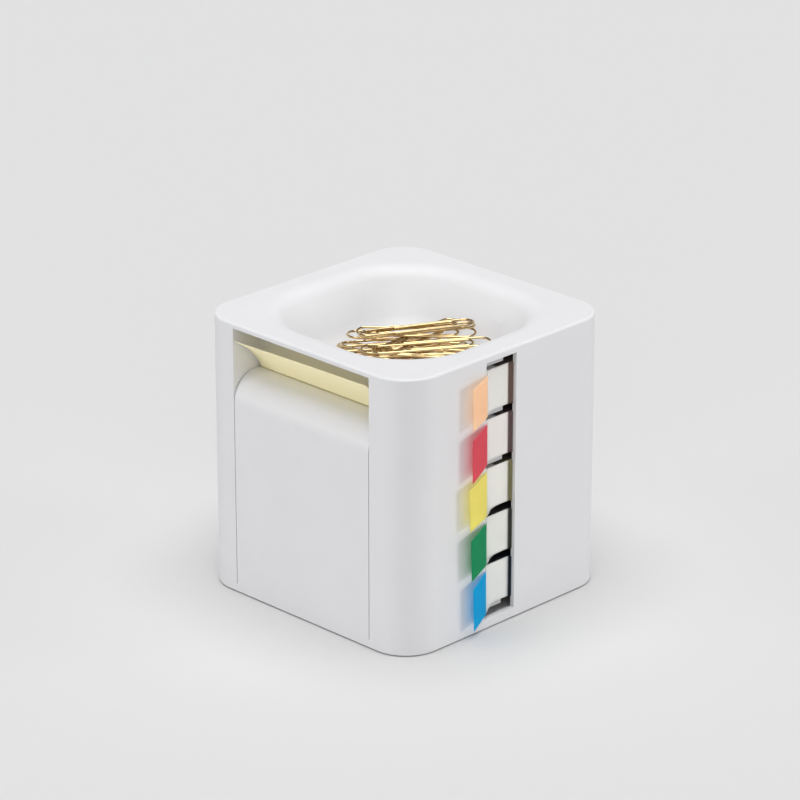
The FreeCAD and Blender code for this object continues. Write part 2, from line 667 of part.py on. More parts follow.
def pusher_spring(name, sign):
    """A coil of round wire round a stem, between the pusher and the carrier."""
    wire = number("Sizes.spring_wire")
    radius = number("Sizes.stem_radius") + number("Sizes.spring_gap") + wire / 2
    inset = wire / 2 + number("Sizes.spring_end_gap")
    start = number(PUSHER_BACK) + inset
    end = number(CARRIER_FRONT) - inset
    turns = number("Sizes.spring_turns")
    helix = Part.makeHelix((end - start) / turns, end - start, radius)
    section = Part.Wire(Part.makeCircle(wire / 2, V(radius, 0, 0), V(0, 1, 0)))
    coil = Part.Wire(helix.Edges).makePipeShell([section], True, True)
    coil.rotate(V(), V(1, 0, 0), -90)
    coil.translate(V(sign * number("Sizes.stem_offset"), start, number(STEM_HEIGHT)))
    return feature(name, coil)


def strip_between(edges, thickness):
    """A thin sheet: the ruled surface between two smooth curves, made thick along a vector."""
    curves = []
    for points in edges:
        curve = Part.BSplineCurve()
        curve.interpolate([V(*point) for point in points])
        curves.append(curve.toShape())
    surface = Part.makeRuledSurface(curves[0], curves[1])
    return surface.Faces[0].extrude(V(*thickness))


def popped_note():
    """The note that leans out over the tongue's lip, as a curved sheet across the mouth."""
    half = number("Sizes.note_size") / 2
    back = number(PAD_FRONT)
    low = number("Sizes.tongue_top") + number("Sizes.popped_start")
    reach = number("Sizes.popped_reach")
    rise = number("Sizes.popped_rise")
    # Shares of the reach and of the rise: steep at the lip, then leaning forwards
    profile = [(0, 0), (0.09, 0.2), (0.4, 0.57), (0.72, 0.81), (1, 1)]
    edges = []
    for x in (-half, half):
        edges.append([(x, back - reach * forward, low + rise * up) for forward, up in profile])
    return feature("popped_note", strip_between(edges, (0, number("Sizes.popped_thickness"), 0)))


def flag_bottom(index):
    return f"(Sizes.first_flag_bottom + Sizes.flag_pitch * {index})"


def flag_pack(colour, index):
    bottom = flag_bottom(index)
    left = f"({SLOT_MIDDLE} - Sizes.flag_length / 2)"
    right = f"({SLOT_MIDDLE} + Sizes.flag_length / 2)"
    height = (bottom, f"({bottom} + Sizes.flag_height)")
    return block(f"flag_pad_{colour}", (PACK_BACK, PACK_FRONT), (left, right), height)


def pulled_flag(colour, index):
    """A film strip from the pack's face, round the slot's left edge and out along the wall."""
    face = number(PACK_FRONT) + number("Sizes.film_gap")
    outside = number(RIGHT)
    film = number("Sizes.film_thickness")
    left = number("Sizes.slot_left")
    right = number("Sizes.slot_right")
    bottom = number(flag_bottom(index))
    height = number("Sizes.flag_height")
    tip = number("Sizes.flag_tip_out")
    slot_droop = number(f"Sizes.{colour}_slot_droop")
    reach = number(f"Sizes.{colour}_reach")
    droop = number(f"Sizes.{colour}_droop")
    edge = outside + number("Sizes.film_wall_gap")
    # Outward place, place along the wall and droop, from the slot's right end to the flag's tip
    path = [
        (face, right - number("Sizes.film_right_inset"), 0),
        (face + 0.035 * (edge - face), left + number("Sizes.film_bend_from"), 0.15 * slot_droop),
        (face + 0.3 * (edge - face), left + number("Sizes.film_bend_middle"), 0.5 * slot_droop),
        (edge, left, slot_droop),
        (outside + 0.45 * tip, left - 0.4 * reach, slot_droop + 0.3 * (droop - slot_droop)),
        (outside + tip, left - reach, droop),
    ]
    edges = []
    for level in (bottom, bottom + height):
        edges.append([(x, y, level - down) for x, y, down in path])
    return feature(f"flag_{colour}", strip_between(edges, (film, 0, 0)))


def flag_rack():
    """Back wall, end walls and six fins that make five cells, with ears for its screws."""
    across = (CELL_LEFT, CELL_RIGHT)
    height = (RACK_BOTTOM, RACK_TOP)
    parts = [
        block("rack_back", (RACK_BACK, RACK_INNER), (RACK_LEFT, RACK_RIGHT), height),
        block("rack_end_front", (RACK_BACK, RACK_FRONT), (RACK_LEFT, CELL_LEFT), height),
        block("rack_end_back", (RACK_BACK, RACK_FRONT), (CELL_RIGHT, RACK_RIGHT), height),
    ]
    for index in range(int(number("Sizes.flag_count")) + 1):
        top = flag_bottom(index)
        levels = (f"({top} - Sizes.fin_thickness)", top)
        parts.append(block(f"fin_{index}", (RACK_BACK, RACK_FRONT), across, levels))
    for end, inner, outer in (("front", f"({RACK_LEFT} - Sizes.rack_ear)", RACK_LEFT),
                              ("back", RACK_RIGHT, f"({RACK_RIGHT} + Sizes.rack_ear)")):
        for level in ("low", "high"):
            middle = f"Sizes.rack_screw_{level}"
            z = (f"({middle} - Sizes.rack_ear_height / 2)", f"({middle} + Sizes.rack_ear_height / 2)")
            y = (inner, f"({outer} + 0.5 * Sizes.rack_wall)") if end == "front" else (
                f"({inner} - 0.5 * Sizes.rack_wall)", outer)
            parts.append(block(f"ear_{end}_{level}", (EAR_BACK, EAR_FRONT), y, z))
    depth = (f"({RACK_FRONT} - Sizes.fin_relief)", f"({RACK_FRONT} + Sizes.cut_past)")
    relief = block("fin_relief_cut", depth, ("Sizes.fin_relief_from", CELL_RIGHT),
                   (f"({RACK_BOTTOM} - Sizes.cut_past)", f"({RACK_TOP} + Sizes.cut_past)"))
    # The fins beside the lower packs stand back over their whole length, clear of flags that sag
    first, last = flag_bottom("Sizes.deep_fin_first"), flag_bottom("Sizes.deep_fin_last")
    deep_relief = block("deep_relief_cut", depth, across,
                        (f"({first} - Sizes.fin_thickness - Sizes.cut_past)", f"({last} + Sizes.cut_past)"))
    tools = [relief, deep_relief]
    carrier, rack = screw_places()
    for name, y, z in rack:
        at = (f"({EAR_BACK} - Sizes.cut_past)", y, z)
        through = "Sizes.rack_wall + 2 * Sizes.cut_past"
        tools.append(rod(f"ear_hole_{name}", "x", "Sizes.screw_clearance_radius", through, at))
    return cut("flag_rack", fuse("rack_solid", parts), tools)


def leaf_spring(index):
    """A bowed strip of spring steel between the rack's back wall and a pack."""
    half = number("Sizes.leaf_length") / 2
    thick = number("Sizes.leaf_thickness")
    middle = number(SLOT_MIDDLE)
    gap = number("Sizes.leaf_gap")
    bow = number("Sizes.leaf_space") - thick - 2 * gap
    low = number(RACK_INNER) + gap
    width = number("Sizes.leaf_width")
    z = number(flag_bottom(index)) + (number("Sizes.flag_height") - width) / 2
    inner = Part.Arc(V(low, middle - half, z), V(low + bow, middle, z), V(low, middle + half, z)).toShape()
    outer = inner.translated(V(thick, 0, 0))
    ends = []
    for number_of_end in (0, 1):
        start = inner.Vertexes[number_of_end].Point
        ends.append(Part.LineSegment(start, start + V(thick, 0, 0)).toShape())
    outline = Part.Wire(Part.__sortEdges__([inner, ends[0], outer, ends[1]]))
    return Part.Face(outline).extrude(V(0, 0, width))


def flag_springs():
    leaves = [leaf_spring(index) for index in range(len(FLAGS))]
    return feature("flag_springs", Part.Compound(leaves))


def screw(name, axis, at):
    """A pan-head screw. Its head's underside is at the point and its shank runs along minus or plus axis."""
    head_at = list(at)
    shank_at = list(at)
    if axis == "y":
        shank_at[1] = f"({at[1]} - Sizes.screw_length)"
    else:
        head_at[0] = f"({at[0]} - Sizes.screw_head_height)"
    head = rod(name + "_head", axis, "Sizes.screw_head_radius", "Sizes.screw_head_height", head_at)
    shank = rod(name + "_shank", axis, "Sizes.screw_radius", "Sizes.screw_length", shank_at)
    return fuse(name, [head, shank])


def screws():
    carrier, rack = screw_places()
    carrier_screws = []
    for name, x, z in carrier:
        carrier_screws.append(screw(f"carrier_screw_{name}", "y", (x, "Sizes.carrier_back", z)))
    rack_screws = []
    for name, y, z in rack:
        rack_screws.append(screw(f"rack_screw_{name}", "x", (EAR_BACK, y, z)))
    return group("carrier_screws", carrier_screws), group("rack_screws", rack_screws)


def post_places():
    places = []
    for sign_x in ("-", "+"):
        for sign_y in ("-", "+"):
            x = f"(Sizes.ballast_x {sign_x} (Sizes.ballast_length / 2 - Sizes.post_inset))"
            y = f"(Sizes.ballast_y {sign_y} (Sizes.ballast_width / 2 - Sizes.post_inset))"
            places.append((x, y))
    return places


def base_plate():
    """Plate that closes the bottom, with push-fit tabs, posts for the ballast and a recess for the rubber pad."""
    body = new_body("base_body")
    outline = new_sketch(body, "base_outline", "XY_Plane", "Sizes.base_lift")
    half_x = f"{INNER_X} - Sizes.base_gap"
    half_y = f"{INNER_Y} - Sizes.base_gap"
    rounded_rectangle(outline, half_x, half_y, "Sizes.corner_radius - Sizes.wall - Sizes.base_gap")
    pad(body, "base_block", outline, "Sizes.base_thickness")
    z = (f"({BASE_TOP} - Sizes.fuse_into)", f"({BASE_TOP} + Sizes.tab_height)")
    along = ("-Sizes.tab_half_length", "Sizes.tab_half_length")
    edge_x = (f"({half_x} - Sizes.tab_thickness)", f"({half_x})")
    edge_y = (f"({half_y} - Sizes.tab_thickness)", f"({half_y})")
    parts = [
        body,
        block("tab_left", mirrored(edge_x), along, z),
        block("tab_back", along, edge_y, z),
        block("tab_front", along, mirrored(edge_y), z),
    ]
    for index, (x, y) in enumerate(post_places()):
        length = "Sizes.ballast_thickness + Sizes.post_above + Sizes.fuse_into"
        at = (x, y, f"({BASE_TOP} - Sizes.fuse_into)")
        parts.append(rod(f"post_{index}", "z", "Sizes.post_radius", length, at))
    low = "Sizes.base_lift - Sizes.cut_past"
    recess = grip_body("grip_recess_body", "Sizes.grip_clearance", low, "Sizes.grip_recess + Sizes.cut_past")
    return cut("base_plate", fuse("base_solid", parts), [recess])


def grip_body(name, margin, low, height):
    """The rubber pad's rounded square, or the recess round it."""
    body = new_body(name)
    outline = new_sketch(body, name + "_outline", "XY_Plane", low)
    half = f"Sizes.grip_half + {margin}"
    rounded_rectangle(outline, half, half, f"Sizes.grip_corner + {margin}")
    pad(body, name + "_block", outline, height)
    return body


def non_slip_pad():
    return grip_body("non_slip_pad", "0", "0", "Sizes.base_lift + Sizes.grip_recess")


def ballast_plate():
    body = new_body("ballast_body")
    outline = new_sketch(body, "ballast_outline", "XY_Plane")
    rounded_rectangle(outline, "Sizes.ballast_length / 2", "Sizes.ballast_width / 2", "Sizes.ballast_corner")
    pad(body, "ballast_block", outline, "Sizes.ballast_thickness")
    place(body, "Sizes.ballast_x", "Sizes.ballast_y", BASE_TOP)
    holes = []
    for index, (x, y) in enumerate(post_places()):
        radius = "Sizes.post_radius + Sizes.post_clearance"
        at = (x, y, f"({BASE_TOP} - Sizes.cut_past)")
        length = "Sizes.ballast_thickness + 2 * Sizes.cut_past"
        holes.append(rod(f"ballast_hole_{index}", "z", radius, length, at))
    return cut("ballast_plate", body, holes)


def ballast_clips():
    washers = []
    for index, (x, y) in enumerate(post_places()):
        thickness = "Sizes.washer_thickness"
        disc = rod(f"washer_disc_{index}", "z", "Sizes.washer_radius", thickness, (x, y, BALLAST_TOP))
        radius = "Sizes.post_radius + Sizes.post_clearance / 2"
        at = (x, y, f"({BALLAST_TOP} - Sizes.cut_past)")
        hole = rod(f"washer_hole_{index}", "z", radius, f"{thickness} + 2 * Sizes.cut_past", at)
        washers.append(cut(f"washer_{index}", disc, [hole]))
    return group("ballast_clips", washers)


def clip_wire():
    """One gem clip lying flat about the origin: three loops of round wire."""
    length = number("Sizes.clip_length")
    wire = number("Sizes.clip_wire")
    outer = (number("Sizes.clip_width") - wire) / 2
    # Shares of the wire and of the length that make the usual look of three nested loops
    step = 1.2 * wire
    left_turn = outer - step / 2
    inner = outer - step
    right = length / 2 - wire / 2 - outer
    left = wire / 2 + left_turn - length / 2
    tail = left + 0.2 * length
    inner_right = right - 0.12 * length
    inner_tail = left + 0.24 * length
    segment = Part.LineSegment
    path = [
        segment(V(tail, -outer, 0), V(right, -outer, 0)),
        Part.Arc(V(right, -outer, 0), V(right + outer, 0, 0), V(right, outer, 0)),
        segment(V(right, outer, 0), V(left, outer, 0)),
        Part.Arc(V(left, outer, 0), V(left - left_turn, outer - left_turn, 0), V(left, outer - 2 * left_turn, 0)),
        segment(V(left, outer - 2 * left_turn, 0), V(inner_right, -inner, 0)),
        Part.Arc(V(inner_right, -inner, 0), V(inner_right + inner, 0, 0), V(inner_right, inner, 0)),
        segment(V(inner_right, inner, 0), V(inner_tail, inner, 0)),
    ]
    spine = Part.Wire([piece.toShape() for piece in path])
    section = Part.Wire(Part.makeCircle(wire / 2, V(tail, -outer, 0), V(1, 0, 0)))
    return spine.makePipeShell([section], True, False)


def dish_surface(x, y):
    """Height of the dish's surface at a point: floor, floor radius, slope and lip radius in turn."""
    straight = number("Sizes.dish_straight_half")
    half = straight + math.hypot(max(abs(x) - straight, 0), max(abs(y) - straight, 0))
    top = number("Sizes.body_height")
    bottom = top - number("Sizes.dish_depth")
    lip = number("Sizes.dish_lip_radius")
    blend = number("Sizes.dish_floor_radius")
    slope = dish_slope()
    inward = number("Sizes.dish_rim_half") - half
    lip_run = lip * math.sin(slope)
    if inward <= 0:
        return top
    if inward < lip_run:
        return top - lip + math.sqrt(lip ** 2 - inward ** 2)
    fall = top - lip * (1 - math.cos(slope)) - (inward - lip_run) * math.tan(slope)
    blend_top = bottom + blend * (1 - math.cos(slope))
    if fall > blend_top:
        return fall
    slope_run = (top - lip * (1 - math.cos(slope)) - blend_top) / math.tan(slope)
    from_floor = lip_run + slope_run + blend * math.sin(slope) - inward
    if from_floor <= 0:
        return bottom
    return bottom + blend - math.sqrt(blend ** 2 - from_floor ** 2)


def paper_clips():
    """Layers of two clips side by side, each layer turned against the one below."""
    clip = clip_wire()
    length = number("Sizes.clip_length")
    wire = number("Sizes.clip_wire")
    reach = number("Sizes.clip_pair_offset") + number("Sizes.clip_width") / 2
    z = 0
    clips = []
    for layer in range(int(number("Sizes.clip_layers"))):
        swing = math.sin(math.radians(number("Sizes.clip_phase_angle")) * layer)
        yaw = number("Sizes.clip_angle") + number("Sizes.clip_swing_angle") * swing
        turn = FreeCAD.Rotation(V(0, 0, 1), yaw)
        seat = 0
        for end in (-1, 1):
            for side in (-1, 1):
                corner = turn.multVec(V(end * length / 2, side * reach, 0))
                seat = max(seat, dish_surface(corner.x, corner.y))
        seat += wire / 2 + number("Sizes.clip_seat_gap")
        z = max(seat, z + wire + number("Sizes.clip_layer_gap"))
        for side in (-1, 1):
            along = side * number("Sizes.clip_pair_slide")
            offset = turn.multVec(V(along, side * number("Sizes.clip_pair_offset"), 0))
            lying = clip.copy()
            lying.Placement = FreeCAD.Placement(V(offset.x, offset.y, z), turn)
            clips.append(lying)
    return feature("paper_clips", Part.Compound(clips))


def build():
    """Makes every piece and gives back those that are written out."""
    pieces = [outer_shell(), note_pad(), popped_note(), note_carrier(), note_pusher()]
    pieces += [pusher_spring("pusher_spring_left", -1), pusher_spring("pusher_spring_right", 1)]
    pieces.append(flag_rack())
    for index, colour in enumerate(FLAGS):
        pieces.append(flag_pack(colour, index))
        pieces.append(pulled_flag(colour, index))
    pieces.append(flag_springs())
    pieces += screws()
    pieces += [base_plate(), non_slip_pad(), ballast_plate(), ballast_clips()]
    pieces.append(paper_clips())
    return pieces


def check_and_write(pieces):
    doc.recompute()
    for thing in doc.Objects:
        if "Invalid" in thing.State or "Error" in thing.State:
            raise RuntimeError(f"{thing.Name} failed: {thing.State}")
    for piece in pieces:
        shape = piece.Shape
        if shape.isNull() or not shape.isValid():
            raise RuntimeError(f"{piece.Name} has no valid shape")
    os.makedirs("parts", exist_ok=True)
    for piece in pieces:
        piece.Label = piece.Name
        piece.Shape.exportStep(f"parts/{piece.Label}.step")
        print(piece.Label, len(piece.Shape.Solids), round(piece.Shape.Volume, 1))


check_and_write(build())
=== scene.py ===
import math
import random

import bpy
from mathutils import Matrix, Vector


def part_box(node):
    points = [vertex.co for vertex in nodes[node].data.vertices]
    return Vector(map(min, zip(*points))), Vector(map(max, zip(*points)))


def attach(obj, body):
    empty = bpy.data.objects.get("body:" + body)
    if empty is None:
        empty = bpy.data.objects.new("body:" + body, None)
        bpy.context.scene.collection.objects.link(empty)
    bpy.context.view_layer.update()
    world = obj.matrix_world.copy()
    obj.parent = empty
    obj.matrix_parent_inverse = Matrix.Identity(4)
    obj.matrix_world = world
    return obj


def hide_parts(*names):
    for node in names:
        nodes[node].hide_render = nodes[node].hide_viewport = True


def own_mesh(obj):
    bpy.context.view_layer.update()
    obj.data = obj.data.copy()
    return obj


# Looks of the desk organizer cube, in metres, in the frame of its CAD model:
# +Z up, front with the note mouth towards -Y, flag slot towards +X.

MM = 0.001

# Base colours
WHITE = (0.8, 0.8, 0.815)
# painted shade: the rack is grey to stand for the shade on its fins in the slot's gaps
RACK_SHADE_GREY = (0.5, 0.495, 0.5)
PAD_BLACK = (0.05, 0.05, 0.052)
PLATE_STEEL = (0.5, 0.5, 0.51)
SPRING_STEEL = (0.6, 0.6, 0.61)
SCREW_STEEL = (0.55, 0.55, 0.57)
PAPER = (0.97, 0.915, 0.66)
GOLD = (0.74, 0.57, 0.31)
FLOOR_GREY = (0.69, 0.69, 0.692)
FILM_WHITE = (0.985, 0.982, 0.97)
FILM_COLOURS = {
    "blue": (0.0, 0.6, 0.86),
    "green": (0.02, 0.5, 0.23),
    "yellow": (0.95, 0.9, 0.36),
    "red": (0.87, 0.19, 0.25),
    "orange": (1.0, 0.82, 0.63),
}

# Colour of the coloured ends of the many layers behind each other at the right edge of each pack, darkened as
# painted shade from the slot's right wall, and where they start, in mm
SHADED_END_BANDS = {
    "blue": ((0.03, 0.055, 0.09), 1.4),
    "green": ((0.14, 0.145, 0.125), 1.2),
    "yellow": ((0.55, 0.52, 0.32), 0.9),
    "red": ((0.38, 0.27, 0.28), 0.7),
    "orange": ((0.46, 0.33, 0.28), 0.5),
}
BAND_SOFT = 0.6 * MM

# The packs whose upper layers are painted light towards the left, where that painted light ends, and the
# painted shadow line at their front
PAINTED_LIGHT_PACKS = ("orange", "red", "yellow")
PAINTED_LIGHT_END = -5 * MM
PAINTED_LIGHT_SOFT = 2 * MM
PAINTED_SHADOW_LINE = (0.45 * MM, 0.35 * MM)

# Scales of the materials' patterns, per metre, and heights of their relief
PLASTIC_CLOUDS = 45
PLASTIC_GLOSS = 160
PLASTIC_GRAIN = 2600
PLASTIC_RELIEF = 0.012 * MM
PAPER_FIBRES = 1500
PAPER_SHEETS = 1500
PAPER_RELIEF = 0.03 * MM
METAL_LINES = 900
METAL_RELIEF = 0.015 * MM
GOLD_LINES = 260
GOLD_RELIEF = 0.004 * MM
RUBBER_GRAINS = 1400
RUBBER_RELIEF = 0.08 * MM
FILM_CLOUDS = 120
FILM_GLOSS = 300
FILM_GRAIN = 1900
FILM_RELIEF = 0.008 * MM
PACK_LAYERS = 1300
PACK_RELIEF = 0.01 * MM

# Light in paper and film: the shares that they scatter through and pass, and painted light: a faint light of
# their own that brightens them
NOTE_SCATTERS = 0.3
NOTE_PAINTED_GLOW = 0.14
FILM_SCATTERS = 0.4
FILM_PASSES = 0.48
FILM_DEPTH = 1.3
FILM_PAINTED_GLOW = 0.28
FILM_WHITE_SHARE = 0.97
WHITE_PAINTED_GLOW = (0.18, 0.175, 0.17)

# Places on the CAD model that the film flags pass, and where their tint starts
WALL = 60 * MM
SLOT_LEFT = -14.5 * MM
TINT_START = -13.8 * MM
TINT_BEFORE = 0.7 * MM
TINT_AFTER = 0.5 * MM

# The popped note. Its knots in the side view: in front of its back edge and over its lower edge, in mm
NOTE_THICKNESS = 0.18 * MM
NOTE_STRIPS = 24
NOTE_STEPS = 8
NOTE_KNOTS = ((0, 0), (1.3, 3), (5.8, 8.5), (10.5, 12.1))
NOTE_MARGIN = 0.2 * MM
NOTE_BOW = 0.6 * MM
NOTE_BEND_LIFT = 0.7 * MM
NOTE_TIP_LIFT = 1.6 * MM

# How each flag hangs: its edges' fall at the slot, and the fall and place of its tip's two corners, in mm
FLAG_SHAPES = {
    "blue": {"slot": (2.3, 0.8), "tip": (5.3, 4.5), "end": (-24.8, -25.3), "curl": 1.0},
    "green": {"slot": (1.7, 0.7), "tip": (3.9, 4.0), "end": (-26.3, -26.9), "curl": 1.0},
    "yellow": {"slot": (1.5, -0.3), "tip": (3.1, 2.9), "end": (-27.4, -28.1), "curl": 1.0},
    "red": {"slot": (0.3, 0.3), "tip": (3.8, 3.2), "end": (-26.2, -26.2), "curl": 0.55},
    "orange": {"slot": (0.7, 0.55), "tip": (2.74, 2.4), "end": (-26.2, -26.2), "curl": 0.55},
}
FLAG_THICKNESS = 0.12 * MM
FLAG_STRIPS = 16
FLAG_STEPS = 6
FLAG_CLEARANCE = 0.15 * MM
FLAG_OFF_WALL = 0.5 * MM

# The flag's right end on its pack: how far its knots lie out from the face and beyond the pack's edge, in mm
FLAG_RIGHT_END = ((1.05, 0.9), (0.25, 0.2), (0, -1.2))

# Its way to the slot: how far its knots lie out from the face, flat and for a full curl, and right of the
# slot's left edge, in mm, and their share of the fall at the slot
FLAG_WAY = ((0, 0, 11, 0), (0, 0.25, 7.7, 0.02), (0.05, 1.15, 4.4, 0.1), (0.5, 1.7, 2.4, 0.4))

# Its free end: where it turns at the slot's left edge, and its middle, in shares of the way to the tip
FLAG_TURN = 0.1 * MM
FLAG_MIDDLE = (0.55, 0.5, 0.48)

# The pusher's coil springs
SPRING_WIRE = 0.8 * MM
SPRING_RADIUS = 3.4 * MM
SPRING_TURNS = 5
SPRING_STEPS = 24

# The dish and the clips in it
TOP = 120 * MM
DISH_RIM = 51.5 * MM
DISH_STRAIGHT = 14.5 * MM
DISH_FLAT = 16.5 * MM
DISH_DEPTH = 24 * MM
DISH_LIP = 10 * MM
DISH_FOOT = 22 * MM
DISH_SLOPE = (math.atan2(DISH_DEPTH - DISH_LIP - DISH_FOOT, DISH_RIM - DISH_FLAT)
              + math.asin((DISH_LIP + DISH_FOOT)
                          / math.hypot(DISH_RIM - DISH_FLAT, DISH_DEPTH - DISH_LIP - DISH_FOOT)))
CLIP_LENGTH = 50 * MM
CLIP_WIDTH = 9.4 * MM
CLIP_WIRE = 1 * MM
CLIP_LOOP_STEP = 1.25 * CLIP_WIRE
CLIP_TAIL = 0.2 * CLIP_LENGTH
CLIP_INNER_TAIL = 0.24 * CLIP_LENGTH
CLIP_INNER_END = 0.12 * CLIP_LENGTH
CLIP_TURN_STEPS = 13
CLIP_POINT_STEP = 0.6 * MM
CLIP_COUNT = 16
CLIPS_ON_TOP = 2
PILE_SEED = 10
PILE_TRIES = 24
PILE_TURN = 45
PILE_REACH = 45 * MM
PILE_CELL = 0.4 * MM
PILE_OVER_DISH = 0.75 * CLIP_WIRE
PILE_PEAK_WEIGHT = 0.6

# The lamps: where each shines from, its strength in shares of pi, and its angle in degrees
RIGHT_TURN = math.radians(43)
LEFT_TURN = math.radians(30)
LOW_RISE = math.tan(math.radians(3))
LAMPS = {
    "overhead": ((0.03, -0.03, 1), 0.81, 50),
    "front": ((0.7, -0.7, 0.46), 0.17, 50),
    "back": ((-0.7, 0.7, 0.17), 0.04, 50),
    "right_side": ((math.cos(RIGHT_TURN), math.sin(RIGHT_TURN), LOW_RISE), 0.37, 18),
    "left_side": ((-math.sin(LEFT_TURN), -math.cos(LEFT_TURN), LOW_RISE), 0.305, 20),
}
ROOM_LIGHT = 0.17
FLOOR_HALF = 30

# The camera, fitted to the body's corners and edges in the photograph
CAMERA_LENS = 177.04
CAMERA_PLACE = (1.059806, -1.075779, 0.687061)
CAMERA_TARGET = (-0.020917, 0.018382, 0.069132)

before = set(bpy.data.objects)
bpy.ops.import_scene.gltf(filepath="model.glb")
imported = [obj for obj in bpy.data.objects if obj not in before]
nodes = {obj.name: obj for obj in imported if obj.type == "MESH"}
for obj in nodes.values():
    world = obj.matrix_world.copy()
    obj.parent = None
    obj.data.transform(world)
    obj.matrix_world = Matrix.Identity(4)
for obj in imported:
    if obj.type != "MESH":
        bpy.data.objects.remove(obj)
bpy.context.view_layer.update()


# Materials

def new_material(name):
    """A material, its node tree and its Principled shader."""
    material = bpy.data.materials.new(name)
    material.use_nodes = True
    return material, material.node_tree, material.node_tree.nodes["Principled BSDF"]


def place_on(tree, stretch=(1, 1, 1)):
    """The row frame's coordinates, in metres, stretched."""
    source = tree.nodes.new("ShaderNodeTexCoord")
    mapping = tree.nodes.new("ShaderNodeMapping")
    mapping.inputs["Scale"].default_value = stretch
    tree.links.new(source.outputs["Object"], mapping.inputs["Vector"])
    return mapping.outputs["Vector"]


def noise(tree, vector, scale, detail=3.0):
    texture = tree.nodes.new("ShaderNodeTexNoise")
    texture.inputs["Scale"].default_value = scale
    texture.inputs["Detail"].default_value = detail
    tree.links.new(vector, texture.inputs["Vector"])
    return texture.outputs["Fac"]


def stripes(tree, vector, direction, scale, distortion):
    """Bands across a direction, for the sheets of a pad or the layers of a pack."""
    wave = tree.nodes.new("ShaderNodeTexWave")
    wave.bands_direction = direction
    wave.inputs["Scale"].default_value = scale
    wave.inputs["Distortion"].default_value = distortion
    tree.links.new(vector, wave.inputs["Vector"])
    return wave.outputs["Fac"]


def spread(tree, value, low, high, start=0.3, end=0.7):
    """Maps a value from start..end to low..high."""
    node = tree.nodes.new("ShaderNodeMapRange")
    node.inputs["From Min"].default_value = start
    node.inputs["From Max"].default_value = end
    node.inputs["To Min"].default_value = low
    node.inputs["To Max"].default_value = high
    tree.links.new(value, node.inputs["Value"])
    return node.outputs["Result"]


def along_axis(tree, axis, start, end):
    """0 before start and 1 after end, along an axis in metres."""
    source = tree.nodes.new("ShaderNodeTexCoord")
    split = tree.nodes.new("ShaderNodeSeparateXYZ")
    tree.links.new(source.outputs["Object"], split.inputs["Vector"])
    return spread(tree, split.outputs[axis], 0, 1, start, end)


def colours_between(tree, factor, first, second):
    """A mix of two colours, each a colour or a socket."""
    node = tree.nodes.new("ShaderNodeMix")
    node.data_type = "RGBA"
    tree.links.new(factor, node.inputs["Factor"])
    for socket, colour in ((node.inputs[6], first), (node.inputs[7], second)):
        if isinstance(colour, bpy.types.NodeSocket):
            tree.links.new(colour, socket)
        else:
            socket.default_value = (*colour, 1)
    return node.outputs[2]


def shade(colour, amount):
    return tuple(channel * amount for channel in colour)


def mottled(tree, pattern, colour, darkest):
    """A colour that a pattern darkens, at most to a share of it."""
    return colours_between(tree, spread(tree, pattern, 0, 1), shade(colour, darkest), colour)


def uneven_gloss(tree, shader, pattern, low, high):
    tree.links.new(spread(tree, pattern, low, high), shader.inputs["Roughness"])


def bump(tree, shader, height, distance):
    node = tree.nodes.new("ShaderNodeBump")
    node.inputs["Distance"].default_value = distance
    node.inputs["Strength"].default_value = 1.0
    tree.links.new(height, node.inputs["Height"])
    tree.links.new(node.outputs["Normal"], shader.inputs["Normal"])


def mix_shaders(tree, first, second, amount):
    """The first shader with an amount of the second in it."""
    node = tree.nodes.new("ShaderNodeMixShader")
    node.inputs["Fac"].default_value = amount
    tree.links.new(first, node.inputs[1])
    tree.links.new(second, node.inputs[2])
    return node.outputs["Shader"]


def show(tree, surface):
    """Puts a mixed shader on the material's surface."""
    tree.links.new(surface, tree.nodes["Material Output"].inputs["Surface"])


def plastic(name, colour, roughness, specular=0.5):
    """Moulded plastic: faint cloudiness, uneven gloss and a fine grain."""
    material, tree, shader = new_material(name)
    where = place_on(tree)
    tint = mottled(tree, noise(tree, where, PLASTIC_CLOUDS), colour, 0.975)
    tree.links.new(tint, shader.inputs["Base Color"])
    uneven_gloss(tree, shader, noise(tree, where, PLASTIC_GLOSS, 4), roughness - 0.04, roughness + 0.05)
    shader.inputs["Specular IOR Level"].default_value = specular
    bump(tree, shader, noise(tree, where, PLASTIC_GRAIN, 2), PLASTIC_RELIEF)
    return material


def paper(name, colour, sheets_along=None, scatters=0.0, painted_glow=0.0):
    """Matt note paper with fibres.

    A pad's edges show its sheets along an axis. A single sheet scatters a share of the light through, and
    painted light of its own can brighten it."""
    material, tree, shader = new_material(name)
    where = place_on(tree)
    fibres = noise(tree, place_on(tree, (1, 0.35, 1)), PAPER_FIBRES, 6)
    tint = mottled(tree, fibres, colour, 0.955)
    if sheets_along is not None:
        sheets = stripes(tree, where, sheets_along, PAPER_SHEETS, 1.5)
        tint = colours_between(tree, spread(tree, sheets, 0, 0.5, 0.6, 1), tint, shade(colour, 0.8))
    tree.links.new(tint, shader.inputs["Base Color"])
    shader.inputs["Roughness"].default_value = 0.85
    shader.inputs["Specular IOR Level"].default_value = 0.2
    bump(tree, shader, fibres, PAPER_RELIEF)
    # painted light: the paper glows in its own colour to brighten it
    shader.inputs["Emission Color"].default_value = (*colour, 1)
    shader.inputs["Emission Strength"].default_value = painted_glow
    if scatters:
        through = tree.nodes.new("ShaderNodeBsdfTranslucent")
        tree.links.new(tint, through.inputs["Color"])
        show(tree, mix_shaders(tree, shader.outputs["BSDF"], through.outputs["BSDF"], scatters))
    return material


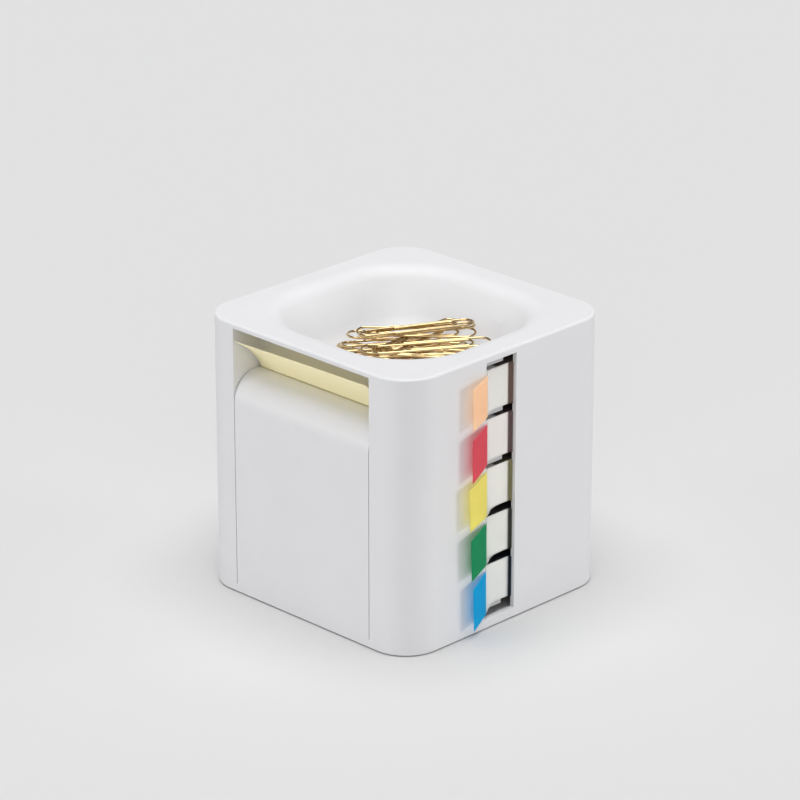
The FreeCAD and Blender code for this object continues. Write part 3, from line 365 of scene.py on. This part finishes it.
def metal(name, colour, roughness, stretch=(1, 1, 1), scale=METAL_LINES, relief=METAL_RELIEF):
    """Metal with drawn or brushed lines and uneven gloss."""
    material, tree, shader = new_material(name)
    lines = noise(tree, place_on(tree, stretch), scale, 5)
    tree.links.new(mottled(tree, lines, colour, 0.9), shader.inputs["Base Color"])
    shader.inputs["Metallic"].default_value = 1.0
    uneven_gloss(tree, shader, lines, roughness - 0.05, roughness + 0.07)
    bump(tree, shader, lines, relief)
    return material


def rubber(name, colour):
    material, tree, shader = new_material(name)
    grains = noise(tree, place_on(tree), RUBBER_GRAINS, 4)
    tree.links.new(mottled(tree, grains, colour, 0.7), shader.inputs["Base Color"])
    shader.inputs["Roughness"].default_value = 0.8
    shader.inputs["Specular IOR Level"].default_value = 0.3
    bump(tree, shader, grains, RUBBER_RELIEF)
    return material


def film(name, tint, shaded_band, band_start):
    """White film with coloured ends: tinted beyond the slot's left edge, and at its right edge its coloured
    end darkened as painted shade. It glows with painted light on its tinted end and its white part.
    """
    material, tree, shader = new_material(name)
    where = place_on(tree)
    clouds = noise(tree, where, FILM_CLOUDS)
    soft = tuple(FILM_WHITE_SHARE * pale + (1 - FILM_WHITE_SHARE) * channel
                 for pale, channel in zip(FILM_WHITE, tint))
    white = mottled(tree, clouds, soft, 0.975)
    deep = mottled(tree, clouds, tint, 0.93)
    left = along_axis(tree, "Y", TINT_START - TINT_BEFORE, TINT_START + TINT_AFTER)
    # painted shade: at the right the film's coloured end takes the darkened colour
    right = along_axis(tree, "Y", band_start, band_start + BAND_SOFT)
    colour = colours_between(tree, right, colours_between(tree, left, deep, white), shaded_band)
    tree.links.new(colour, shader.inputs["Base Color"])
    # painted light: the film glows on its tinted end and its white part, not on its shaded right end
    painted_glow_colour = colours_between(tree, right, colours_between(tree, left, deep, WHITE_PAINTED_GLOW), (0, 0, 0))
    tree.links.new(painted_glow_colour, shader.inputs["Emission Color"])
    shader.inputs["Emission Strength"].default_value = FILM_PAINTED_GLOW
    uneven_gloss(tree, shader, noise(tree, where, FILM_GLOSS, 4), 0.3, 0.42)
    shader.inputs["Specular IOR Level"].default_value = 0.2
    bump(tree, shader, noise(tree, where, FILM_GRAIN, 2), FILM_RELIEF)
    scattered = tree.nodes.new("ShaderNodeBsdfTranslucent")
    tree.links.new(colour, scattered.inputs["Color"])
    passed = tree.nodes.new("ShaderNodeBsdfTransparent")
    deeper = tuple(channel ** FILM_DEPTH for channel in tint)
    through = colours_between(tree, right, colours_between(tree, left, deeper, FILM_WHITE), shaded_band)
    tree.links.new(through, passed.inputs["Color"])
    sheet = mix_shaders(tree, shader.outputs["BSDF"], scattered.outputs["BSDF"], FILM_SCATTERS)
    show(tree, mix_shaders(tree, sheet, passed.outputs["BSDF"], FILM_PASSES))
    return material


def film_pack(name, shaded_band, band_start, front, painted_light_left):
    """A pack of film flags: white face, its coloured end at the right darkened as painted shade, and fine
    layers at its edges, darkened as painted shade for the gaps between packs.

    On the packs with painted light, the edges are painted light towards the left, with a thin painted shadow
    line at their front."""
    material, tree, shader = new_material(name)
    where = place_on(tree)
    layers = spread(tree, stripes(tree, where, "X", PACK_LAYERS, 1.2), 0, 1, 0.3, 1)
    # painted shade: the pack's edges are darkened, with fine layers, for the shade in the gaps between packs
    painted_gap_shade = shade(shaded_band, 0.25)
    edge = colours_between(tree, layers, painted_gap_shade, shade(painted_gap_shade, 0.4))
    # painted light: on the upper packs the edges are lighter towards the left, where light falls into the
    # gaps, with a painted shadow line at their front
    if painted_light_left:
        pale = colours_between(tree, layers, shade(FILM_WHITE, 0.9), shade(FILM_WHITE, 0.6))
        line = along_axis(tree, "X", front - PAINTED_SHADOW_LINE[0], front - PAINTED_SHADOW_LINE[1])
        pale = colours_between(tree, line, pale, painted_gap_shade)
        beyond = along_axis(tree, "Y", PAINTED_LIGHT_END - PAINTED_LIGHT_SOFT, PAINTED_LIGHT_END)
        edge = colours_between(tree, beyond, pale, edge)
    facing = tree.nodes.new("ShaderNodeNewGeometry")
    split = tree.nodes.new("ShaderNodeSeparateXYZ")
    tree.links.new(facing.outputs["True Normal"], split.inputs["Vector"])
    face = spread(tree, split.outputs["X"], 0, 1, 0.4, 0.6)
    # painted shade: at the right the face takes the darkened colour of the coloured ends
    right = along_axis(tree, "Y", band_start, band_start + BAND_SOFT)
    colour = colours_between(tree, face, edge, colours_between(tree, right, FILM_WHITE, shaded_band))
    tree.links.new(colour, shader.inputs["Base Color"])
    uneven_gloss(tree, shader, noise(tree, where, FILM_GLOSS, 4), 0.38, 0.5)
    shader.inputs["Specular IOR Level"].default_value = 0.35
    bump(tree, shader, noise(tree, where, FILM_GRAIN, 2), PACK_RELIEF)
    return material


def dress(names, material):
    """Gives CAD nodes a material."""
    for name in names:
        data = nodes[name].data
        data.materials.clear()
        data.materials.append(material)


# Pieces

def mesh_piece(name, vertices, faces, material, body):
    """A smooth mesh that moves with a body."""
    data = bpy.data.meshes.new(name)
    data.from_pydata(vertices, [], faces)
    data.update()
    for face in data.polygons:
        face.use_smooth = True
    data.materials.append(material)
    piece = bpy.data.objects.new(name, data)
    bpy.context.scene.collection.objects.link(piece)
    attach(piece, body)
    return piece


def smooth_through(knots, steps):
    """Points on a smooth curve through knots, by Catmull-Rom."""
    knots = [Vector(knot) for knot in knots]
    padded = [2 * knots[0] - knots[1], *knots, 2 * knots[-1] - knots[-2]]
    points = []
    for index in range(len(knots) - 1):
        a, b, c, d = padded[index:index + 4]
        for step in range(steps):
            t = step / steps
            points.append(0.5 * (2 * b + (c - a) * t + (2 * a - 5 * b + 4 * c - d) * t * t
                                 + (3 * b - a - 3 * c + d) * t ** 3))
    points.append(knots[-1])
    return points


def sheet_piece(name, rows, thickness, material, body):
    """A thin sheet through rows of points, with a real thickness."""
    vertices = [point for row in rows for point in row]
    width = len(rows[0])
    faces = []
    for i in range(len(rows) - 1):
        for j in range(width - 1):
            first = i * width + j
            faces.append((first, first + 1, first + width + 1, first + width))
    piece = mesh_piece(name, vertices, faces, material, body)
    solid = piece.modifiers.new("thickness", "SOLIDIFY")
    solid.thickness = thickness
    solid.offset = 0
    return piece


def popped_note(material):
    """The note that leans out over the tongue, with its right end lifted a little."""
    low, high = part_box("popped_note")
    half = 0.5 * (high.x - low.x)
    rows = []
    for i in range(NOTE_STRIPS + 1):
        across = i / NOTE_STRIPS
        x = -half + 2 * half * across
        profile = [(high.y - forward * MM, low.z + up * MM) for forward, up in NOTE_KNOTS]
        bend_y, bend_z = profile[-1]
        profile[-1] = (bend_y, bend_z + NOTE_BEND_LIFT * across ** 2)
        lift = NOTE_BOW * math.sin(math.pi * across) + NOTE_TIP_LIFT * across ** 2
        profile.append((low.y + NOTE_MARGIN, high.z - NOTE_MARGIN + lift))
        rows.append(smooth_through([(x, y, z) for y, z in profile], NOTE_STEPS))
    piece = sheet_piece("note_sheet", rows, NOTE_THICKNESS, material, "top_note")
    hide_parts("popped_note")


def film_flag(colour, material):
    """A film flag from its pack's face, round the slot's edge and out, with its lower edge first."""
    shape = FLAG_SHAPES[colour]
    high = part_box(f"flag_{colour}")[1]
    pack_low, pack_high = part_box(f"flag_pad_{colour}")
    face = pack_high.x + FLAG_CLEARANCE
    edge = WALL + FLAG_OFF_WALL
    out = high.x - FLAG_CLEARANCE
    rows = []
    for i in range(FLAG_STRIPS + 1):
        up = i / FLAG_STRIPS
        z = pack_low.z + up * (pack_high.z - pack_low.z)
        # The curl is strongest at the lower edge and fades upwards
        curl = shape["curl"] * (1 - up) ** 1.5
        slot_fall, tip_fall, end = ((lower + up * (upper - lower)) * MM
                                    for lower, upper in (shape["slot"], shape["tip"], shape["end"]))
        path = [(face + off * MM, high.y + beyond * MM, z) for off, beyond in FLAG_RIGHT_END]
        for flat, curled, right, share in FLAG_WAY:
            path.append((face + (flat + curled * curl) * MM, SLOT_LEFT + right * MM, z - share * slot_fall))
        path.append((edge, SLOT_LEFT + FLAG_TURN, z - slot_fall))
        path.append((
            edge + FLAG_MIDDLE[0] * (out - edge),
            SLOT_LEFT + FLAG_MIDDLE[1] * (end - SLOT_LEFT),
            z - slot_fall - FLAG_MIDDLE[2] * (tip_fall - slot_fall),
        ))
        path.append((out, end, z - tip_fall))
        rows.append(smooth_through(path, FLAG_STEPS))
    name = f"film_flag_{colour}"
    piece = sheet_piece(name, rows, FLAG_THICKNESS, material, f"pulled_{colour}")
    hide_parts(f"flag_{colour}")


def wire_mesh(path, wire):
    """The vertices and faces of a round wire along a path of points."""
    curve = bpy.data.curves.new("wire", "CURVE")
    curve.dimensions = "3D"
    curve.bevel_depth = wire / 2
    curve.bevel_resolution = 3
    curve.use_fill_caps = True
    spline = curve.splines.new("POLY")
    spline.points.add(len(path) - 1)
    for point, place in zip(spline.points, path):
        point.co = (*place, 1)
    holder = bpy.data.objects.new("wire", curve)
    bpy.context.scene.collection.objects.link(holder)
    bpy.context.view_layer.update()
    data = bpy.data.meshes.new_from_object(holder.evaluated_get(bpy.context.evaluated_depsgraph_get()))
    bpy.data.objects.remove(holder)
    return [vertex.co.copy() for vertex in data.vertices], [list(face.vertices) for face in data.polygons]


def coil_spring(node, material):
    """A compression spring along Y, the length of the CAD spring."""
    low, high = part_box(node)
    middle = (low + high) / 2
    whole = high.y - low.y
    path = []
    for step in range(SPRING_TURNS * SPRING_STEPS + 1):
        turn = step / SPRING_STEPS
        # The first and the last half turn close up, as on a spring with flat ends
        lift = min(max((turn - 0.5) / (SPRING_TURNS - 1), 0), 1)
        path.append(Vector((
            middle.x + SPRING_RADIUS * math.cos(2 * math.pi * turn),
            low.y + SPRING_WIRE / 2 + lift * (whole - SPRING_WIRE),
            middle.z + SPRING_RADIUS * math.sin(2 * math.pi * turn),
        )))
    vertices, faces = wire_mesh(path, SPRING_WIRE)
    piece = mesh_piece(f"coil_{node}", vertices, faces, material, "shell")
    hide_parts(node)
    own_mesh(piece)


def half_turn(x, y, radius, start):
    """The points between the ends of a half turn about a place, with its start in half turns from +X."""
    points = []
    for step in range(1, CLIP_TURN_STEPS):
        angle = math.pi * (start + step / CLIP_TURN_STEPS)
        points.append(Vector((x + radius * math.cos(angle), y + radius * math.sin(angle), 0)))
    return points


def clip_path():
    """Centre line of a gem clip, lying flat about the origin."""
    outer = (CLIP_WIDTH - CLIP_WIRE) / 2
    left_turn = outer - CLIP_LOOP_STEP / 2
    inner = outer - CLIP_LOOP_STEP
    right = CLIP_LENGTH / 2 - CLIP_WIRE / 2 - outer
    left = CLIP_WIRE / 2 + left_turn - CLIP_LENGTH / 2
    inner_right = right - CLIP_INNER_END
    return [
        Vector((left + CLIP_TAIL, -outer, 0)),
        Vector((right, -outer, 0)),
        *half_turn(right, 0, outer, -0.5),
        Vector((right, outer, 0)),
        Vector((left, outer, 0)),
        *half_turn(left, outer - left_turn, left_turn, 0.5),
        Vector((left, outer - 2 * left_turn, 0)),
        Vector((inner_right, -inner, 0)),
        *half_turn(inner_right, 0, inner, -0.5),
        Vector((inner_right, inner, 0)),
        Vector((left + CLIP_INNER_TAIL, inner, 0)),
    ]


def dish_height(x, y):
    """Height of the dish's surface at a point: flat floor, rounded foot, slope and rounded lip."""
    half = DISH_STRAIGHT + math.hypot(max(abs(x) - DISH_STRAIGHT, 0), max(abs(y) - DISH_STRAIGHT, 0))
    inward = DISH_RIM - half
    slope_fall = DISH_LIP * (1 - math.cos(DISH_SLOPE))
    foot_rise = DISH_FOOT * (1 - math.cos(DISH_SLOPE))
    bottom = TOP - DISH_DEPTH
    if inward <= 0:
        return TOP
    lip_run = DISH_LIP * math.sin(DISH_SLOPE)
    if inward < lip_run:
        return TOP - DISH_LIP + math.sqrt(DISH_LIP ** 2 - inward ** 2)
    height = TOP - slope_fall - (inward - lip_run) * math.tan(DISH_SLOPE)
    if height > bottom + foot_rise:
        return height
    slope_run = (TOP - slope_fall - bottom - foot_rise) / math.tan(DISH_SLOPE)
    from_floor = lip_run + slope_run + DISH_FOOT * math.sin(DISH_SLOPE) - inward
    if from_floor <= 0:
        return bottom
    return bottom + DISH_FOOT - math.sqrt(DISH_FOOT ** 2 - from_floor ** 2)


class Pile:
    """Wires laid on each other in the dish: a grid of the lowest heights for the middle of the next wire."""

    def __init__(self, reach, cell, wire, over_dish):
        self.reach = reach
        self.cell = cell
        self.wire = wire
        self.count = int(2 * reach / cell) + 1
        places = [number * cell - reach for number in range(self.count)]
        self.lowest = [[dish_height(x, y) + over_dish for x in places] for y in places]

    def cell_of(self, x, y):
        """The column and the row of the grid at a place."""
        return round((x + self.reach) / self.cell), round((y + self.reach) / self.cell)

    def rest(self, points):
        """How far points have to be raised to lie free on what is already there."""
        rise = -1
        for x, y, z in points:
            column, row = self.cell_of(x, y)
            if not (0 <= column < self.count and 0 <= row < self.count):
                return None
            rise = max(rise, self.lowest[row][column] - z)
        return rise

    def add(self, points):
        """Raises the grid around a wire's points."""
        steps = int(self.wire / self.cell) + 1
        for x, y, z in points:
            column, row = self.cell_of(x, y)
            for i in range(row - steps, row + steps + 1):
                for j in range(column - steps, column + steps + 1):
                    away = math.hypot(j * self.cell - self.reach - x, i * self.cell - self.reach - y)
                    if away < self.wire and 0 <= i < self.count and 0 <= j < self.count:
                        top = z + math.sqrt(self.wire ** 2 - away ** 2)
                        self.lowest[i][j] = max(self.lowest[i][j], top)


def along(path, step):
    """Points at even steps along a path."""
    points = []
    for start, end in zip(path, path[1:]):
        count = max(1, round((end - start).length / step))
        points += [start.lerp(end, i / count) for i in range(count)]
    return points + [path[-1]]


def try_place(dice, index):
    """A random place for a clip: its distances along and away from the pile's line, and its turns.

    Most clips lie from the left corner of the dish to its right corner. Every third one crosses them, and the
    last two lie on top. The pile's middle shifts as it grows."""
    done = index / CLIP_COUNT
    crossing = index % 3 == 2
    if index >= CLIP_COUNT - CLIPS_ON_TOP:
        yaw = dice.uniform(56, 64)
        pitch = dice.uniform(-4, 0)
        roll = dice.uniform(-10, -2)
        along_pile = dice.uniform(3, 8) * MM
        away = dice.uniform(4, 10) * MM
    else:
        along_pile = dice.uniform(-10 + 7 * done, 10 + 2 * done) * MM
        away = dice.uniform(-21 + 13 * done, 10) * MM
        if crossing:
            yaw = dice.uniform(-35, 125)
        else:
            yaw = PILE_TURN + 1.1 * along_pile / MM + dice.uniform(-14, 12)
        pitch = dice.uniform(-5, 5)
        roll = dice.uniform(-28, 28) if crossing else dice.uniform(-12, 12)
    end_turn = 180 if dice.random() < 0.5 else 0
    side_turn = 180 if dice.random() < 0.5 else 0
    line_turn = math.radians(PILE_TURN)
    x = along_pile * math.cos(line_turn) - away * math.sin(line_turn)
    y = along_pile * math.sin(line_turn) + away * math.cos(line_turn)
    turn = Matrix.Identity(4)
    for angle, axis in ((yaw, "Z"), (pitch, "Y"), (roll, "X"), (end_turn, "Z"), (side_turn, "X")):
        turn = turn @ Matrix.Rotation(math.radians(angle), 4, axis)
    return Matrix.Translation((x, y, 0)) @ turn


def lowest_place(pile, line, dice, index):
    """Where a clip comes to lie lowest, out of a few tries."""
    best_score, best_place = math.inf, None
    for attempt in range(PILE_TRIES):
        place = try_place(dice, index)
        points = [place @ point for point in line]
        rise = pile.rest(points)
        if rise is None:
            continue
        highest = rise + max(point.z for point in points)
        middle = rise + sum(point.z for point in points) / len(points)
        score = middle + PILE_PEAK_WEIGHT * (highest - middle)
        if score < best_score:
            best_score, best_place = score, Matrix.Translation((0, 0, rise)) @ place
    return best_place


def clip_pile(material):
    """The loose pile: the clips are dropped one by one on each other in the dish."""
    path = clip_path()
    line = along(path, CLIP_POINT_STEP)
    clip_vertices, clip_faces = wire_mesh(path, CLIP_WIRE)
    pile = Pile(PILE_REACH, PILE_CELL, CLIP_WIRE, PILE_OVER_DISH)
    dice = random.Random(PILE_SEED)
    vertices, faces = [], []
    for index in range(CLIP_COUNT):
        place = lowest_place(pile, line, dice, index)
        pile.add([place @ point for point in line])
        start = len(vertices)
        vertices += [place @ vertex for vertex in clip_vertices]
        faces += [[start + corner for corner in face] for face in clip_faces]
    piece = mesh_piece("clip_pile", vertices, faces, material, "clips")
    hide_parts("paper_clips")


# Stage, light and camera

def floor():
    """A plain pale floor."""
    material, _, shader = new_material("floor_paper")
    shader.inputs["Base Color"].default_value = (*FLOOR_GREY, 1)
    shader.inputs["Roughness"].default_value = 0.9
    shader.inputs["Specular IOR Level"].default_value = 0.1
    data = bpy.data.meshes.new("floor")
    corners = [(x * FLOOR_HALF, y * FLOOR_HALF, 0) for x, y in ((-1, -1), (1, -1), (1, 1), (-1, 1))]
    data.from_pydata(corners, [], [(0, 1, 2, 3)])
    data.materials.append(material)
    piece = bpy.data.objects.new("floor", data)
    bpy.context.scene.collection.objects.link(piece)


def lighting():
    """A pale room, soft lamps overhead, in front and behind, and a low lamp for each side wall that shows."""
    world = bpy.data.worlds.new("studio")
    bpy.context.scene.world = world
    world.use_nodes = True
    background = world.node_tree.nodes["Background"]
    background.inputs["Color"].default_value = (1, 1, 1, 1)
    background.inputs["Strength"].default_value = ROOM_LIGHT
    for name, (direction, strength, angle) in LAMPS.items():
        light = bpy.data.lights.new(name, "SUN")
        light.energy = strength * math.pi
        light.angle = math.radians(angle)
        lamp = bpy.data.objects.new(name, light)
        lamp.rotation_euler = Vector(direction).to_track_quat("Z", "Y").to_euler()
        bpy.context.scene.collection.objects.link(lamp)


def camera():
    data = bpy.data.cameras.new("camera")
    data.sensor_width = 36
    data.lens = CAMERA_LENS
    data.clip_start = 0.1
    data.clip_end = 100
    holder = bpy.data.objects.new("camera", data)
    holder.location = CAMERA_PLACE
    direction = Vector(CAMERA_TARGET) - Vector(CAMERA_PLACE)
    holder.rotation_euler = direction.to_track_quat("-Z", "Y").to_euler()
    bpy.context.scene.collection.objects.link(holder)
    bpy.context.scene.camera = holder


camera()
dress(["outer_shell"], plastic("shell_plastic", WHITE, 0.46, specular=0.38))
dress(["note_carrier", "note_pusher"], plastic("inner_plastic", shade(WHITE, 0.97), 0.45))
dress(["flag_rack"], plastic("rack_plastic", RACK_SHADE_GREY, 0.5))
dress(["base_plate"], plastic("base_plastic", shade(WHITE, 0.93), 0.5))
dress(["non_slip_pad"], rubber("pad_rubber", PAD_BLACK))
dress(["ballast_plate"], metal("plate_steel", PLATE_STEEL, 0.4, stretch=(1, 12, 1)))
steel = metal("spring_steel", SPRING_STEEL, 0.25)
dress(["flag_springs", "ballast_clips"], steel)
for node in ("pusher_spring_left", "pusher_spring_right"):
    coil_spring(node, steel)
dress(["carrier_screws", "rack_screws"], metal("screw_steel", SCREW_STEEL, 0.3))
dress(["note_pad"], paper("pad_paper", PAPER, sheets_along="Y"))
popped_note(paper("note_paper", PAPER, scatters=NOTE_SCATTERS, painted_glow=NOTE_PAINTED_GLOW))
for colour, tint in FILM_COLOURS.items():
    pack = f"flag_pad_{colour}"
    shaded_band, band_start = SHADED_END_BANDS[colour]
    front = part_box(pack)[1].x
    dress([pack], film_pack(f"pack_{colour}", shaded_band, band_start * MM, front, colour in PAINTED_LIGHT_PACKS))
    film_flag(colour, film(f"film_{colour}", tint, shaded_band, band_start * MM))
clip_pile(metal("gold_plate", GOLD, 0.1, scale=GOLD_LINES, relief=GOLD_RELIEF))
floor()
lighting()
bpy.context.scene.view_settings.view_transform = "Standard"
